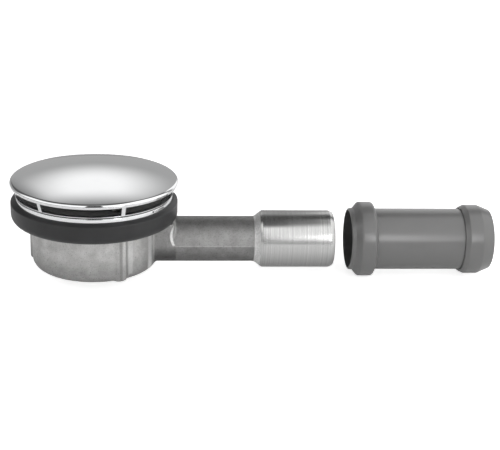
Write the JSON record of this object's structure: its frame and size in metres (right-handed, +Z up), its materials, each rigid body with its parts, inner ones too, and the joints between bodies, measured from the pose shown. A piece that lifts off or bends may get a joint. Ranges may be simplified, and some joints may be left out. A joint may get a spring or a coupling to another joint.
{
  "type": "shower trap",
  "caption": "Low shower trap with a domed chrome cover over side windows, rubber tray gasket, cast cup, horizontal outlet spigot and push-fit pipe coupling.",
  "frame": {"origin": "centre of the cup's flat underside", "axes": "+Z up through the cover, +X along the outlet pipe towards the coupling"},
  "size_m": [0.3347, 0.1146, 0.077],
  "materials": {
    "cast_body": "sand-textured casting, spigot turned bright",
    "chrome": "polished",
    "rubber": "matt moulded",
    "black_plastic": "moulded",
    "grey_plastic": "satin moulded",
    "steel": "plain steel"
  },
  "bodies": {
    "root": {"trap_body": "cast_body", "tray_gasket": "rubber", "flange_ring": "chrome", "cover_cage": "chrome", "dome_cover": "chrome", "cover_screw": "steel", "dip_tube": "black_plastic", "dip_tube_oring": "rubber", "hair_strainer": "black_plastic", "pipe_coupling": "grey_plastic", "coupling_cap": "grey_plastic", "inlet_lip_seal": "rubber", "outlet_lip_seal": "rubber", "clamp_screw_1": "steel", "clamp_screw_2": "steel", "clamp_screw_3": "steel"}
  },
  "joints": []
}
